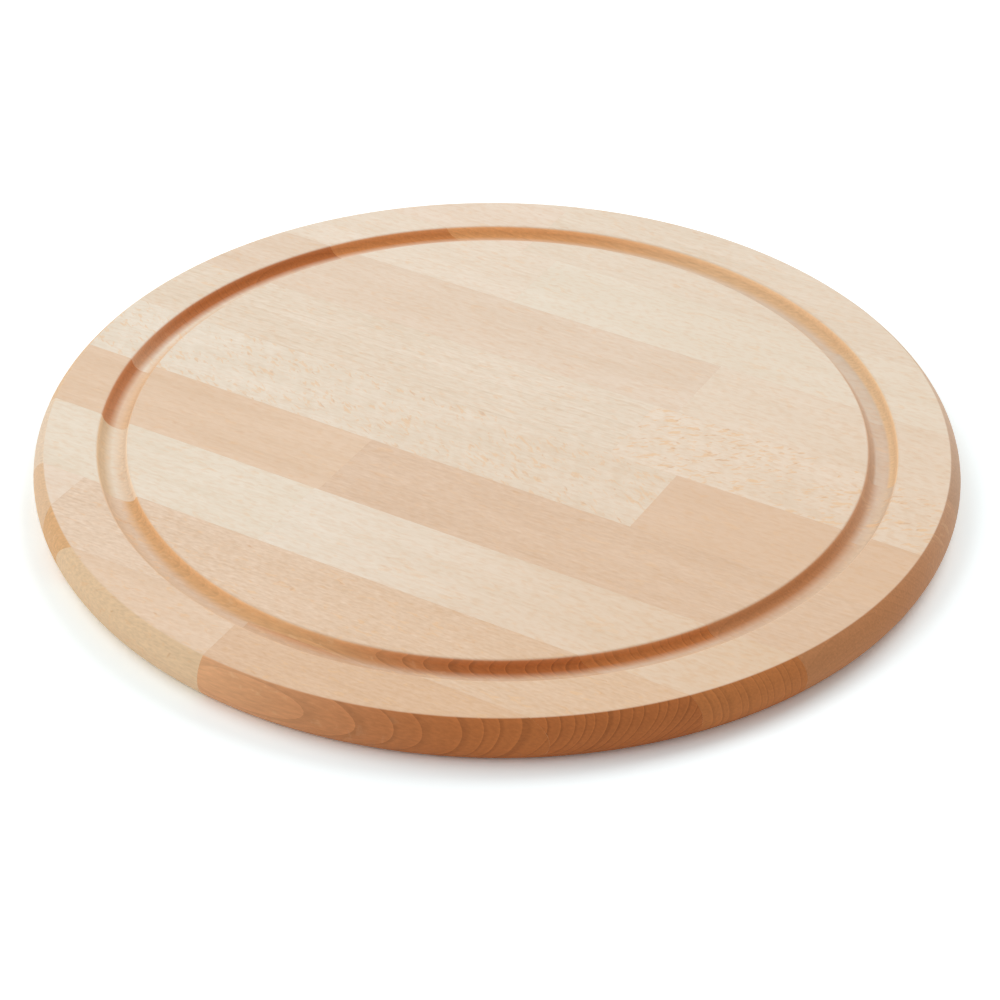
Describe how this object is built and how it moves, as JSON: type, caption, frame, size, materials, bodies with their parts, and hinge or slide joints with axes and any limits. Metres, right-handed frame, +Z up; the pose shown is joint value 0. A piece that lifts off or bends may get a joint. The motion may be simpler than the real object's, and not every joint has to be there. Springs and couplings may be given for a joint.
{
  "type": "serving board",
  "caption": "Round wooden serving board glued up from staves, with a rounded rim and a juice groove near its edge.",
  "frame": {"origin": "middle of the underside, on the surface that the board lies on", "axes": "+Z up through the board, +X along the grain of the staves, +Y across them towards the narrowest row"},
  "size_m": [0.4, 0.4, 0.02],
  "materials": {
    "beech_cream": "sanded and oiled, satin",
    "beech_pale": "sanded and oiled, satin",
    "beech_blush": "sanded and oiled, satin",
    "beech_sand": "sanded and oiled, satin",
    "beech_rose": "sanded and oiled, satin",
    "beech_tan": "sanded and oiled, satin"
  },
  "bodies": {
    "root": {"back_row_5_stave_1": "beech_pale", "back_row_4_stave_1": "beech_blush", "back_row_4_stave_2": "beech_pale", "back_row_3_stave_1": "beech_pale", "back_row_3_stave_2": "beech_cream", "back_row_2_stave_1": "beech_blush", "back_row_2_stave_2": "beech_pale", "back_row_1_stave_1": "beech_pale", "back_row_1_stave_2": "beech_blush", "middle_row_stave_1": "beech_pale", "middle_row_stave_2": "beech_rose", "front_row_1_stave_1": "beech_sand", "front_row_1_stave_2": "beech_rose", "front_row_2_stave_1": "beech_cream", "front_row_2_stave_2": "beech_pale", "front_row_3_stave_1": "beech_blush", "front_row_3_stave_2": "beech_sand", "front_row_4_stave_1": "beech_sand", "front_row_4_stave_2": "beech_tan"}
  },
  "joints": []
}
